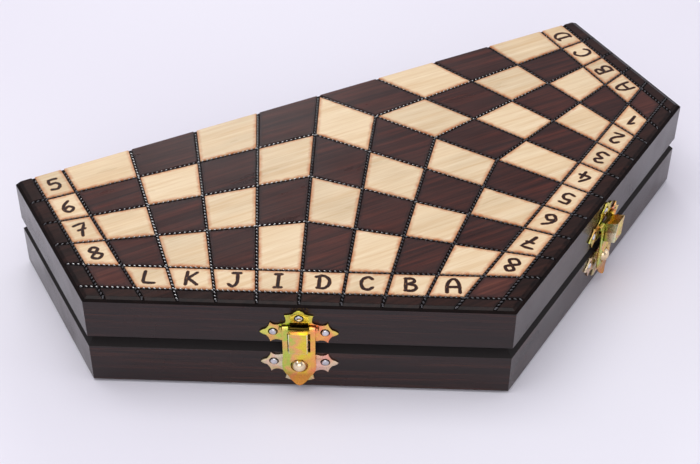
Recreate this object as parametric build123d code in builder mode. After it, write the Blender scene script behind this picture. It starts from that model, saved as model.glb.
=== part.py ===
from build123d import *
from math import cos, pi, sqrt
import os

os.makedirs("parts", exist_ok=True)

# A folding wooden box whose two shallow halves open into a hexagonal board for
# three-player chess. Closed, its plan is half a hexagon with the fold at the back.
# The origin is on the underside, midway between the two side corners and on the
# line that joins them. +Y points to the fold, +Z up, and +X to the right.

# Box
board_side = 160.0           # side of the open hexagonal board
half_height = 21.0           # outside height of each half
wall_thickness = 8.0
panel_thickness = 4.0
bevel_width = 3.8            # bevel round the board's edge, seen from above
bevel_drop = 1.8             # and its drop
rim_chamfer = 2.6            # chamfer on the outer rim of each half
rim_gap = 0.2                # daylight between the closed rims

# Butt hinges
hinge_offset = 88.0          # from the middle of the fold to each hinge
hinge_width = 18.0
leaf_thickness = 0.9
leaf_reach = 6.6             # from the fold face to the leaf's inner edge
knuckle_radius = 1.55
hinge_pin_radius = 0.6
knuckle_gap = 0.2            # between neighbouring knuckles
mortise_clearance = 0.1
pin_clearance = 0.05         # radial, in every knuckle and lug
middle_knuckle_width = 6.0

# Latch plates, drawn in a frame at the wall's middle: u along the wall, w up from
# the closing line, v out from the wall
plate_thickness = 0.7
arm_tip_u = 14.85            # half the width over the pointed arms
arm_neck_u = 12.9
arm_shoulder_u = 11.0
arm_root_u = 6.8
arm_half_tip = 1.9           # half the width of the small point
arm_half_shoulder = 5.0
arm_half_root = 4.1
flare_sag = 0.45             # how far the arm's flare is hollowed
upper_arm_w = 8.2            # height of the upper arms over the closing line
lower_arm_w = -7.2
crown_neck_u = 5.1
crown_neck_w = 13.3
crown_shoulder_u = 5.55
crown_shoulder_w = 16.7
crown_waist_u = 2.3
crown_waist_w = 17.4
crown_side_u = 1.6
crown_side_w = 18.5
crown_tip_w = 19.1
foot_neck_w = -13.0
foot_tip_u = 5.6
foot_tip_w = -15.7
foot_toe_u = 3.2
foot_toe_w = -16.8
foot_arch_w = -15.9

# Latch hasp
hasp_sheet = 0.6
hasp_stand_off = 2.05        # from the wall to the back of the hasp
hasp_half_width = 6.25
shield_top_w = -3.2
hasp_bulge_u = 6.6           # where the shield is widest, beside the ball
hasp_bulge_w = -6.5
shield_low_u = 5.6
shield_low_w = -10.1
hasp_tip_w = -16.9
hasp_tip_half = 1.3
hasp_lip = 0.9               # outward kick of the thumb lip
hasp_lip_height = 3.2
box_half_width = 3.6
box_depth_top = 6.8          # from the wall to the front of the raised box
box_depth_bottom = 6.6
box_top_front_w = 12.6
box_top_rear_w = 11.6
box_bottom_front_w = 3.4
box_bottom_rear_w = 2.2
box_edge_radius = 0.9
pivot_v = 1.45
pivot_w = 10.9
latch_pin_radius = 0.5
hasp_knuckle_radius = 1.1
hasp_knuckle_inner_u = 3.9
slot_clearance = 0.2         # round the knuckles, in the upper plate's slots
lug_gap = 0.2
lug_thickness = 0.7
lug_height = 2.0

# Ball stud and nail holes
ball_radius = 2.9
ball_centre_v = 1.75
ball_shoulder_v = 2.6        # the ball's side is straight up to here
ball_crown_radius = 1.45     # radius of the facet round its top
ball_hole_clearance = 0.4
nail_hole_radius = 0.75
arm_nail_u = 9.75
crown_nail_w = 15.0

# Fitted inserts and their pockets
insert_height = 9.0
insert_clearance = 0.3
insert_floor = 1.0
pocket_clearance = 0.3
back_pockets = 15
front_pockets = 9
row_end_margin = 2.75        # from the insert's ends to the back row's first pitch
back_row_margin = 2.0        # from the back wall to the first row of pockets
row_gap = 4.0                # between the two rows of pockets

# Chess pieces: base radius, height over all, and waist and head radii. These fit a
# board of this side, and on another board the pieces grow or shrink with it.
piece_board_side = 160.0
turned_sides = 10            # flat sides round each turned piece
neck_share = 0.66            # of a piece's height: its narrow neck,
collar_share = 0.79          # the widest place of its head,
brow_share = 0.9             # and where the head draws in,
brow_width_share = 0.75      # to this share of the head's radius
base_thickness = 2.8
pawn_base = 6.0
pawn_height = 27.0
pawn_waist = 2.3
pawn_head = 4.3
rook_base = 6.6
rook_height = 30.0
rook_waist = 3.5
rook_head = 4.9
knight_base = 6.6
knight_height = 34.0
knight_thickness = 6.0
horse_profile = [            # shares of the base radius and of the height, from the chest up
    (0.7, 0.08),
    (0.3, 0.42),
    (0.25, 0.62),
    (0.95, 0.56),
    (0.95, 0.7),
    (0.2, 0.92),
    (0, 1),
    (-0.3, 0.92),
    (-0.85, 0.6),
    (-0.7, 0.08),
]
bishop_base = 6.6
bishop_height = 40.0
bishop_waist = 2.5
bishop_head = 4.2
queen_base = 7.0
queen_height = 46.0
queen_waist = 2.8
queen_head = 5.0
king_base = 7.0
king_height = 51.0
king_waist = 3.0
king_head = 5.0
cross_size = 6.0
cross_bar = 2.0

# Worked out from the sizes above
apothem = board_side * sqrt(3) / 2
fold_y = board_side / 2
tray_rim = half_height - rim_gap / 2
lid_rim = half_height + rim_gap / 2
box_height = 2 * half_height
piece_scale = board_side / piece_board_side
back_row_length = 2 * (apothem - wall_thickness - insert_clearance - row_end_margin)
pocket_pitch = back_row_length / back_pockets


def box_outline(inset, fold_inset):
    """Corners of the closed box in plan, moved in from its sides and its fold."""
    reach = apothem - inset
    side = 2 * reach / sqrt(3)
    back = fold_y - fold_inset
    return [
        (-reach, back),
        (-reach, fold_y - side / 2),
        (0, fold_y - side),
        (reach, fold_y - side / 2),
        (reach, back),
    ]


def save(builder, name):
    """Label a finished sub-part and write it under its own name."""
    builder.part.label = name
    export_step(builder.part, "parts/" + name + ".step")


# Board panels: each covers its frame, flush with the walls, and is bevelled on the
# four outer edges. The fold edge stays square, so that the open board has no seam.
for half in ("tray", "lid"):
    square_z = bevel_drop if half == "tray" else box_height - bevel_drop
    inner_z = panel_thickness if half == "tray" else box_height - panel_thickness
    outer_z = 0 if half == "tray" else box_height
    with BuildPart() as panel:
        with BuildSketch(Plane.XY.offset(min(inner_z, square_z))):
            with BuildLine():
                Polyline(*box_outline(0, 0), close=True)
            make_face()
        extrude(amount=abs(inner_z - square_z))
        with BuildSketch(Plane.XY.offset(square_z)):
            with BuildLine():
                Polyline(*box_outline(0, 0), close=True)
            make_face()
        with BuildSketch(Plane.XY.offset(outer_z)):
            with BuildLine():
                Polyline(*box_outline(bevel_width, 0), close=True)
            make_face()
        loft(ruled=True)
    save(panel, half + "_board_panel")

# Frame walls, mitred at the five corners. Each has a chamfer along its outer rim,
# and the back walls are mortised for the hinge leaves.
wall_names = ("left", "front_left", "front_right", "right", "back")
outer_corners = box_outline(0, 0)
inner_corners = box_outline(wall_thickness, wall_thickness)
hinge_places = [(-hinge_offset, fold_y, half_height), (hinge_offset, fold_y, half_height)]
for half in ("tray", "lid"):
    low_z = panel_thickness if half == "tray" else lid_rim
    high_z = tray_rim if half == "tray" else box_height - panel_thickness
    rim_index = -1 if half == "tray" else 0
    for i, wall_name in enumerate(wall_names):
        j = (i + 1) % len(wall_names)
        along = (Vector(*outer_corners[j]) - Vector(*outer_corners[i])).normalized()
        outward = along.cross(Vector(0, 0, 1))
        with BuildPart() as wall:
            with BuildSketch(Plane.XY.offset(low_z)):
                with BuildLine():
                    Polyline(
                        outer_corners[i],
                        outer_corners[j],
                        inner_corners[j],
                        inner_corners[i],
                        close=True,
                    )
                make_face()
            extrude(amount=high_z - low_z)
            rim_edges = wall.edges().group_by(Axis.Z)[rim_index]
            chamfer(rim_edges.sort_by(Axis((0, 0, 0), outward))[-1], length=rim_chamfer)
            if wall_name == "back":
                with Locations(*hinge_places):
                    Box(
                        hinge_width + 2 * mortise_clearance,
                        2 * (leaf_reach + mortise_clearance),
                        rim_gap + 2 * leaf_thickness,
                        mode=Mode.SUBTRACT,
                    )
        save(wall, half + "_" + wall_name + "_wall")

# Hinges: the tray's leaf carries the two outer knuckles and the lid's the middle
# one. The axis runs along the fold at the closing line, so the lid turns half a
# turn and the two fold faces then meet.
knuckle_bore = hinge_pin_radius + pin_clearance
leaf_relief = knuckle_radius + knuckle_gap
outer_knuckle_width = (hinge_width - middle_knuckle_width) / 2 - knuckle_gap
for side_name, hinge_x in (("left", -hinge_offset), ("right", hinge_offset)):
    outer_knuckle_x = (hinge_width - outer_knuckle_width) / 2
    for half in ("tray", "lid"):
        if half == "tray":
            leaf_z = tray_rim - leaf_thickness / 2
            knuckle_xs = (hinge_x - outer_knuckle_x, hinge_x + outer_knuckle_x)
            knuckle_width = outer_knuckle_width
        else:
            leaf_z = lid_rim + leaf_thickness / 2
            knuckle_xs = (hinge_x,)
            knuckle_width = middle_knuckle_width
        leaf_depth = leaf_reach - leaf_relief
        tongue_depth = leaf_reach - (knuckle_bore + knuckle_radius) / 2
        from_inner_edge = (Align.CENTER, Align.MIN, Align.CENTER)
        with BuildPart() as leaf:
            with Locations((hinge_x, fold_y - leaf_reach, leaf_z)):
                Box(hinge_width, leaf_depth, leaf_thickness, align=from_inner_edge)
            with Locations(*[(x, fold_y - leaf_reach, leaf_z) for x in knuckle_xs]):
                Box(knuckle_width, tongue_depth, leaf_thickness, align=from_inner_edge)
            with Locations(*[(x, fold_y, half_height) for x in knuckle_xs]):
                Cylinder(knuckle_radius, knuckle_width, rotation=(0, 90, 0))
                Cylinder(knuckle_bore, knuckle_width, rotation=(0, 90, 0), mode=Mode.SUBTRACT)
        save(leaf, half + "_" + side_name + "_hinge_leaf")
    with BuildPart() as hinge_pin:
        with Locations((hinge_x, fold_y, half_height)):
            Cylinder(hinge_pin_radius, hinge_width, rotation=(0, 90, 0))
    save(hinge_pin, side_name + "_hinge_pin")


def arm_outline(arm_w, from_top):
    """Half of a plate's pointed arm, drawn round its flared shoulders and its tip."""
    sign = 1 if from_top else -1
    far_root = (arm_root_u, arm_w + sign * arm_half_root)
    far_shoulder = (arm_shoulder_u, arm_w + sign * arm_half_shoulder)
    near_shoulder = (arm_shoulder_u, arm_w - sign * arm_half_shoulder)
    near_root = (arm_root_u, arm_w - sign * arm_half_root)
    SagittaArc(far_root, far_shoulder, sign * flare_sag)
    Polyline(
        far_shoulder,
        (arm_neck_u, arm_w + sign * arm_half_tip),
        (arm_tip_u, arm_w),
        (arm_neck_u, arm_w - sign * arm_half_tip),
        near_shoulder,
    )
    SagittaArc(near_shoulder, near_root, sign * flare_sag)
    return far_root, near_root


# Latches: a plate on the lid carries the hasp on a pin, and a plate on the tray
# carries the ball that the hasp's hole snaps over.
knuckle_outer_u = hasp_half_width
lug_centre_u = knuckle_outer_u + lug_gap + lug_thickness / 2
latch_pin_length = 2 * (lug_centre_u + lug_thickness)
latch_bore = latch_pin_radius + pin_clearance
hasp_front_v = hasp_stand_off + hasp_sheet
ball_hole_radius = ball_radius + ball_hole_clearance
latch_frames = []
for i in (1, 2):
    start = Vector(*outer_corners[i])
    end = Vector(*outer_corners[i + 1])
    along = (end - start).normalized()
    middle = (start + end) * 0.5 + Vector(0, 0, half_height)
    latch_frames.append(Plane(origin=middle, x_dir=along, z_dir=along.cross(Vector(0, 0, 1))))

for latch_name, face in zip(("front", "right"), latch_frames):
    side_view = Plane(origin=face.origin, x_dir=face.z_dir, z_dir=-face.x_dir)
    pivot = face.from_local_coords((0, pivot_w, pivot_v))
    pivot_plane = Plane(origin=pivot, x_dir=face.z_dir, z_dir=-face.x_dir)

    # Plate on the lid, with a crown at its top, slots for the hasp's knuckles and
    # two lugs that hold the pin.
    with BuildPart() as upper_plate:
        with BuildSketch(face):
            with BuildLine():
                top_root, bottom_root = arm_outline(upper_arm_w, True)
                Polyline(
                    top_root,
                    (crown_neck_u, crown_neck_w),
                    (crown_shoulder_u, crown_shoulder_w),
                    (crown_waist_u, crown_waist_w),
                )
                ThreePointArc(
                    (crown_waist_u, crown_waist_w),
                    (crown_side_u, crown_side_w),
                    (0, crown_tip_w),
                )
                Line(bottom_root, (0, bottom_root[1]))
                mirror(about=Plane.YZ)
            make_face()
            with Locations((-arm_nail_u, upper_arm_w), (arm_nail_u, upper_arm_w), (0, crown_nail_w)):
                Circle(nail_hole_radius, mode=Mode.SUBTRACT)
            slot_middle_u = (hasp_knuckle_inner_u + knuckle_outer_u) / 2
            with Locations((-slot_middle_u, pivot_w), (slot_middle_u, pivot_w)):
                Rectangle(
                    knuckle_outer_u - hasp_knuckle_inner_u + 2 * slot_clearance,
                    2 * (hasp_knuckle_radius + slot_clearance),
                    mode=Mode.SUBTRACT,
                )
        extrude(amount=plate_thickness)
        with BuildSketch(face.offset(plate_thickness)):
            with Locations((-lug_centre_u, pivot_w), (lug_centre_u, pivot_w)):
                Rectangle(lug_thickness, lug_height)
        extrude(amount=pivot_v + lug_height / 2 - plate_thickness)
        with BuildSketch(pivot_plane):
            Circle(latch_bore)
        extrude(amount=latch_pin_length / 2, both=True, mode=Mode.SUBTRACT)
    save(upper_plate, latch_name + "_latch_upper_plate")

    with BuildPart() as latch_pin:
        with BuildSketch(pivot_plane):
            Circle(latch_pin_radius)
        extrude(amount=latch_pin_length / 2, both=True)
    save(latch_pin, latch_name + "_latch_pin")

    # Hasp: bent sheet, cut to a shield outline, with a raised hollow box for the
    # thumb, rolled knuckles on the pin and a hole for the ball.
    with BuildPart() as hasp:
        with BuildSketch(side_view):
            with BuildLine():
                Polyline(
                    (hasp_stand_off, pivot_w),
                    (hasp_front_v, pivot_w),
                    (hasp_front_v, hasp_tip_w + hasp_lip_height),
                    (hasp_front_v + hasp_lip, hasp_tip_w),
                    (hasp_stand_off + hasp_lip, hasp_tip_w),
                    (hasp_stand_off, hasp_tip_w + hasp_lip_height),
                    close=True,
                )
            make_face()
        extrude(amount=hasp_bulge_u, both=True)
        with BuildSketch(face):
            with BuildLine():
                shield_top = (hasp_half_width, shield_top_w)
                shield_low = (shield_low_u, shield_low_w)
                Polyline((0, pivot_w), (hasp_half_width, pivot_w), shield_top)
                ThreePointArc(shield_top, (hasp_bulge_u, hasp_bulge_w), shield_low)
                Polyline(shield_low, (hasp_tip_half, hasp_tip_w), (0, hasp_tip_w))
                mirror(about=Plane.YZ)
            make_face()
        extrude(amount=hasp_front_v + hasp_lip, mode=Mode.INTERSECT)
        with BuildSketch(side_view):
            with BuildLine():
                Polyline(
                    (hasp_stand_off, box_top_rear_w),
                    (box_depth_top, box_top_front_w),
                    (box_depth_bottom, box_bottom_front_w),
                    (hasp_stand_off, box_bottom_rear_w),
                    close=True,
                )
            make_face()
        extrude(amount=box_half_width, both=True)
        box_front = hasp.faces().sort_by(Axis(face.origin, face.z_dir))[-1]
        box_sides = box_front.edges().filter_by(Axis(face.origin, face.x_dir), reverse=True)
        fillet(box_sides, radius=box_edge_radius)
        with BuildSketch(side_view):
            with BuildLine():
                Polyline(
                    (0, box_top_rear_w - 2 * hasp_sheet),
                    (hasp_stand_off, box_top_rear_w - hasp_sheet),
                    (box_depth_top - hasp_sheet, box_top_front_w - hasp_sheet),
                    (box_depth_bottom - hasp_sheet, box_bottom_front_w + hasp_sheet),
                    (hasp_stand_off, box_bottom_rear_w + hasp_sheet),
                    (0, box_bottom_rear_w + hasp_sheet),
                    close=True,
                )
            make_face()
        extrude(amount=box_half_width - hasp_sheet, both=True, mode=Mode.SUBTRACT)
        for side in (-1, 1):
            knuckle_plane = Plane(
                origin=face.from_local_coords((side * slot_middle_u, pivot_w, pivot_v)),
                x_dir=face.z_dir,
                z_dir=-face.x_dir,
            )
            with BuildSketch(knuckle_plane):
                Circle(hasp_knuckle_radius)
                Circle(latch_bore, mode=Mode.SUBTRACT)
            extrude(amount=(knuckle_outer_u - hasp_knuckle_inner_u) / 2, both=True)
        with BuildSketch(face):
            with Locations((0, lower_arm_w)):
                Circle(ball_hole_radius)
        extrude(amount=hasp_front_v + hasp_lip, mode=Mode.SUBTRACT)
    save(hasp, latch_name + "_latch_hasp")

    # Catch plate on the tray, with a small foot each side of the hasp's lip.
    with BuildPart() as lower_plate:
        with BuildSketch(face):
            with BuildLine():
                bottom_root, top_root = arm_outline(lower_arm_w, False)
                Polyline(
                    bottom_root,
                    (crown_neck_u, foot_neck_w),
                    (foot_tip_u, foot_tip_w),
                    (foot_toe_u, foot_toe_w),
                    (0, foot_arch_w),
                )
                Line(top_root, (0, top_root[1]))
                mirror(about=Plane.YZ)
            make_face()
            with Locations((-arm_nail_u, lower_arm_w), (arm_nail_u, lower_arm_w)):
                Circle(nail_hole_radius, mode=Mode.SUBTRACT)
        extrude(amount=plate_thickness)
    save(lower_plate, latch_name + "_latch_catch_plate")

    # Ball stud, standing on the catch plate.
    ball_foot = face.from_local_coords((0, lower_arm_w, 0))
    ball_plane = Plane(origin=ball_foot, x_dir=face.x_dir, z_dir=-face.y_dir)
    with BuildPart() as ball_stud:
        with BuildSketch(ball_plane):
            with BuildLine():
                Polyline(
                    (0, plate_thickness),
                    (ball_radius, plate_thickness),
                    (ball_radius, ball_shoulder_v),
                    (ball_crown_radius, ball_centre_v + ball_radius),
                    (0, ball_centre_v + ball_radius),
                    close=True,
                )
            make_face()
        revolve(axis=Axis(ball_foot, face.z_dir))
    save(ball_stud, latch_name + "_latch_ball_stud")


def turned_piece(*outline):
    """A standing piece with flat sides, from its outline of radius and height.

    The same outline is cut from several directions, as facets are cut on a rod.
    """
    flat = cos(pi / turned_sides)
    with BuildPart() as turned:
        for k in range(turned_sides // 2):
            with BuildSketch(Plane.XZ.rotated((0, 0, k * 360 / turned_sides))):
                with BuildLine():
                    Polyline((0, 0), *[(radius * flat, height) for radius, height in outline])
                    mirror(about=Plane.YZ)
                make_face()
            extrude(amount=outline[0][0], both=True, mode=Mode.INTERSECT if k else Mode.ADD)
    return turned.part


# Chess pieces, drawn standing.
pawn = turned_piece(
    (pawn_base, 0),
    (pawn_base, base_thickness),
    (pawn_waist, neck_share * pawn_height),
    (pawn_head, collar_share * pawn_height),
    (pawn_head * brow_width_share, brow_share * pawn_height),
    (0, pawn_height),
)
rook = turned_piece(
    (rook_base, 0),
    (rook_base, base_thickness),
    (rook_waist, neck_share * rook_height),
    (rook_head, collar_share * rook_height),
    (rook_head, rook_height),
    (0, rook_height),
)
bishop = turned_piece(
    (bishop_base, 0),
    (bishop_base, base_thickness),
    (bishop_waist, neck_share * bishop_height),
    (bishop_head, collar_share * bishop_height),
    (bishop_head * brow_width_share, brow_share * bishop_height),
    (0, bishop_height),
)
queen = turned_piece(
    (queen_base, 0),
    (queen_base, base_thickness),
    (queen_waist, neck_share * queen_height),
    (queen_head, brow_share * queen_height),
    (0, queen_height),
)
with BuildPart() as king_builder:
    cross_foot = king_height - cross_size
    add(
        turned_piece(
            (king_base, 0),
            (king_base, base_thickness),
            (king_waist, neck_share * cross_foot),
            (king_head, brow_share * cross_foot),
            (cross_bar, cross_foot),
            (0, cross_foot),
        )
    )
    with BuildSketch(Plane.XZ.offset(-cross_bar / 2)):
        with Locations((0, cross_foot + cross_size / 2)):
            Rectangle(cross_bar, cross_size)
            Rectangle(cross_size, cross_bar)
    extrude(amount=cross_bar)
with BuildPart() as knight_builder:
    with BuildSketch():
        RegularPolygon(knight_base, turned_sides, rotation=180 / turned_sides)
    extrude(amount=base_thickness)
    with BuildSketch(Plane.XZ.offset(-knight_thickness / 2)):
        with BuildLine():
            Polyline(*[(u * knight_base, w * knight_height) for u, w in horse_profile], close=True)
        make_face()
    extrude(amount=knight_thickness)

# Pockets lie along Y in two rows across the box. Each colour takes five pockets of
# the back row and three of the front row, in both halves.
colours = ("pale", "brown", "black")


def fitted(shape, base_radius, height):
    """A piece at the board's scale, with the radius and length that it lies in."""
    return scale(shape, by=piece_scale), base_radius * piece_scale, height * piece_scale


pieces = {
    "pawn": fitted(pawn, pawn_base, pawn_height),
    "rook": fitted(rook, rook_base, rook_height),
    "knight": fitted(knight_builder.part, knight_base, knight_height),
    "bishop": fitted(bishop, bishop_base, bishop_height),
    "queen": fitted(queen, queen_base, queen_height),
    "king": fitted(king_builder.part, king_base, king_height),
}
tray_kinds = (["pawn"] * 5, ["pawn"] * 3)
lid_kinds = (["king", "queen", "bishop", "bishop", "knight"], ["knight", "rook", "rook"])
back_row_y = fold_y - wall_thickness - back_row_margin


def pocket_list(kinds):
    """Each pocket of one half: its piece, its colour, and the middle of its back end."""
    back_kinds, front_kinds = kinds
    front_row_y = back_row_y - max(pieces[kind][2] for kind in back_kinds) - row_gap
    pockets = []
    for c, colour in enumerate(colours):
        for row_kinds, count, row_y in (
            (back_kinds, back_pockets, back_row_y),
            (front_kinds, front_pockets, front_row_y),
        ):
            for k, kind in enumerate(row_kinds):
                index = c * len(row_kinds) + k
                x = (index - (count - 1) / 2) * pocket_pitch
                pockets.append((kind, colour, x, row_y))
    return pockets


for half, kinds in (("tray", tray_kinds), ("lid", lid_kinds)):
    pockets = pocket_list(kinds)
    up = 1 if half == "tray" else -1
    panel_z = panel_thickness if half == "tray" else box_height - panel_thickness
    floor_z = panel_z + up * insert_floor

    # Fitted insert, a block that drops inside the walls, with a pocket for each piece.
    with BuildPart() as insert:
        with BuildSketch(Plane.XY.offset(panel_z)):
            with BuildLine():
                insert_inset = wall_thickness + insert_clearance
                Polyline(*box_outline(insert_inset, insert_inset), close=True)
            make_face()
        extrude(amount=up * insert_height)
        for kind, colour, x, y in pockets:
            shape, base_radius, height = pieces[kind]
            with Locations((x, y + pocket_clearance, floor_z + up * insert_height / 2)):
                Box(
                    2 * (base_radius + pocket_clearance),
                    height + 2 * pocket_clearance,
                    insert_height,
                    align=(Align.CENTER, Align.MAX, Align.CENTER),
                    mode=Mode.SUBTRACT,
                )
    save(insert, half + "_insert")

    # The pieces lie on their sides in the pockets, bases towards the fold.
    for colour in colours:
        for kind in sorted(set(kinds[0] + kinds[1])):
            shape, base_radius, height = pieces[kind]
            axis_z = floor_z + up * (base_radius + pocket_clearance)
            places = [
                Location(Plane(origin=(x, y, axis_z), x_dir=(1, 0, 0), z_dir=(0, -1, 0)))
                for pocket_kind, pocket_colour, x, y in pockets
                if pocket_kind == kind and pocket_colour == colour
            ]
            with BuildPart() as group:
                with Locations(*places):
                    add(shape)
            plural = kind + ("s" if len(places) > 1 else "")
            save(group, colour + "_" + plural)
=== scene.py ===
import math
import random

import bmesh
import bpy
from mathutils import Matrix, Vector


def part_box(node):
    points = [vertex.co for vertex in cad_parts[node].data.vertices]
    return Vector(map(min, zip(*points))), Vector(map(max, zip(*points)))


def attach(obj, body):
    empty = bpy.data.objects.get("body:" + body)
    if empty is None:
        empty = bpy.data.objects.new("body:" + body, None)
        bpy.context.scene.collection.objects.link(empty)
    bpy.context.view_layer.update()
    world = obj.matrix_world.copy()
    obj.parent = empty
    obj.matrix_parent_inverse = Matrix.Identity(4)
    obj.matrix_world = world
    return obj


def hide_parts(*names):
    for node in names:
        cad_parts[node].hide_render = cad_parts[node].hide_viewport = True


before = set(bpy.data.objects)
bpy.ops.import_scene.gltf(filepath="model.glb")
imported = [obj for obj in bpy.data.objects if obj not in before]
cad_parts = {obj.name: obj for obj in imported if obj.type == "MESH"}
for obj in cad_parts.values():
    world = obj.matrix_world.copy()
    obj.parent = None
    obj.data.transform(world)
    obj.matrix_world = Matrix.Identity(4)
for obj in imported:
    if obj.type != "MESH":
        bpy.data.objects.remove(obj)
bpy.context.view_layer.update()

# A closed folding box for three-player chess. Its two faces are the halves of a
# hexagonal board. Sizes here are in millimetres, and mesh code turns them to metres.
MM = 0.001

# The box, as in the CAD frame
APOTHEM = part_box("lid_board_panel")[1].x / MM
FOLD_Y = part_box("lid_board_panel")[1].y / MM
BOX_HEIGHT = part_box("lid_board_panel")[1].z / MM
PANEL_THICKNESS = 4.0
BEVEL_WIDTH = 2.3
BEVEL_DROP = 1.05
CLOSING_Z = BOX_HEIGHT / 2
PAINTED_RIM_SHADE = 2.65            # dark matt band each side of the closing line, painted shade for the shadowed groove between the halves

# The board's drawing, measured in from the open hexagon's faces
INNER_GROOVE = 20.0
OUTER_GROOVE = 7.5
GRID = 4                      # fields along each edge of a player's kite
GROOVE_HALF = 0.74
GROOVE_DEPTH = 0.5
FIELD_ROUND = 0.12
FOLD_GAP = 0.03
SCORCH_WIDTH = 2.0            # how far the burning creeps into a field
STRIP_SCORCH = 0.9            # and into the narrow strip along the edge
HIDDEN_DEPTH = 0.05           # how far a field's sides run down past the grooves' floor

# The knurled lines in the grooves are rows of slanting ticks
TICK_PITCH = 1.95
TICK_LENGTH = 0.95
TICK_WIDTH = 0.5
TICK_HEIGHT = 0.5
TICK_TURN = math.radians(34)
LINE_END = 0.9                # how far a line runs out over the bevel

# Letters and digits, burned by hand
GLYPH_HEIGHT = 7.8
STROKE_HALF = 0.78
STROKE_RISE = 0.05
DIGIT_STEP = 0.62             # between the digits of 10, 11 and 12
DIGIT_NARROWING = 0.8

# Latches: u along the wall, w up from the closing line, v out from the wall
ARM_NAIL_U = 9.75
UPPER_ARM_W = 8.2
LOWER_ARM_W = -7.2
CROWN_NAIL_W = 15.0
BALL_RADIUS = 2.9
BALL_CENTRE_V = 1.75
PLATE_THICKNESS = 0.7
LATCH_WIDTH = 30.0
LATCH_REACH = 20.0            # up or down from the closing line

# Chess pieces in their pockets
WALL_THICKNESS = 8.0
INSERT_CLEARANCE = 0.3
INSERT_FLOOR = 1.0
POCKET_CLEARANCE = 0.3
ROW_END_MARGIN = 2.75
BACK_ROW_MARGIN = 2.0
ROW_GAP = 4.0
BACK_POCKETS = 15
FRONT_POCKETS = 9
POCKET_PITCH = 2 * (APOTHEM - WALL_THICKNESS - INSERT_CLEARANCE - ROW_END_MARGIN) / BACK_POCKETS

# The camera, solved from the box's corners in the photograph
CAMERA_PLACE = Vector((-0.2323, -0.3824, 0.3885))
CAMERA_AZIMUTH = math.radians(-28.278)
CAMERA_ELEVATION = math.radians(39.394)
CAMERA_ROLL = math.radians(0.512)
CAMERA_LENS = 71.81

random.seed(31)


# Materials


def srgb(r, g, b):
    """A colour as it looks on a screen, 0 to 255, as Blender's linear colour."""
    linear = [((c / 255 + 0.055) / 1.055) ** 2.4 if c > 10 else c / 255 / 12.92 for c in (r, g, b)]
    return (*linear, 1.0)


class Shader:
    """A node material under construction."""

    def __init__(self, name, roughness=0.4, metallic=0.0, specular=0.5, coat=0.0):
        self.material = bpy.data.materials.new(name)
        self.material.use_nodes = True
        self.tree = self.material.node_tree
        self.bsdf = self.tree.nodes["Principled BSDF"]
        constants = {"Roughness": roughness, "Metallic": metallic, "Specular IOR Level": specular}
        constants |= {"Coat Weight": coat, "Coat Roughness": 0.12}
        for key, value in constants.items():
            self.bsdf.inputs[key].default_value = value
        self.object_coordinates = self.node("ShaderNodeTexCoord").outputs["Object"]

    def node(self, kind, **inputs):
        made = self.tree.nodes.new(kind)
        for key, value in inputs.items():
            self.feed(made.inputs[key.replace("_", " ")], value)
        return made

    def feed(self, socket, value):
        if isinstance(value, bpy.types.NodeSocket):
            self.tree.links.new(value, socket)
        else:
            socket.default_value = value

    def placed(self, scale, turn=0.0):
        """Object coordinates in millimetres, turned about Z and then stretched."""
        turned = self.node("ShaderNodeMapping", Vector=self.object_coordinates)
        turned.inputs["Rotation"].default_value = (0, 0, turn)
        stretched = self.node("ShaderNodeMapping", Vector=turned.outputs[0])
        stretched.inputs["Scale"].default_value = [s / MM for s in scale]
        return stretched.outputs[0]

    def noise(self, scale, detail=3.0, turn=0.0, roughness=0.55, distortion=0.0):
        """Noise with so many lumps to a millimetre, given once or for each direction."""
        placed = self.placed(scale if isinstance(scale, tuple) else (scale,) * 3, turn)
        made = self.node("ShaderNodeTexNoise", Vector=placed, Scale=1.0, Detail=detail)
        self.feed(made.inputs["Roughness"], roughness)
        self.feed(made.inputs["Distortion"], distortion)
        return made.outputs["Fac"]

    def attribute(self, name):
        made = self.node("ShaderNodeAttribute")
        made.attribute_name = name
        return made.outputs["Fac"]

    def ramp(self, fac, *stops):
        made = self.node("ShaderNodeValToRGB", Fac=fac)
        elements = made.color_ramp.elements
        while len(elements) < len(stops):
            elements.new(0.5)
        for element, (position, colour) in zip(elements, stops):
            element.position = position
            element.color = colour if isinstance(colour, tuple) else (colour, colour, colour, 1)
        return made.outputs["Color"]

    def mix(self, fac, a, b, blend="MIX"):
        made = self.node("ShaderNodeMix")
        made.data_type = "RGBA"
        made.blend_type = blend
        self.feed(made.inputs[0], fac)
        self.feed(made.inputs[6], a)
        self.feed(made.inputs[7], b)
        return made.outputs[2]

    def maths(self, operation, a, b=0.0, c=0.0):
        made = self.node("ShaderNodeMath")
        made.operation = operation
        for socket, value in zip(made.inputs, (a, b, c)):
            self.feed(socket, value)
        return made.outputs[0]

    def bump(self, height, distance, strength=1.0):
        made = self.node("ShaderNodeBump", Height=height, Distance=distance * MM, Strength=strength)
        self.tree.links.new(made.outputs[0], self.bsdf.inputs["Normal"])

    def finish(self, colour, roughness=None):
        self.feed(self.bsdf.inputs["Base Color"], colour)
        if roughness is not None:
            self.feed(self.bsdf.inputs["Roughness"], roughness)
        return self.material


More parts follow.
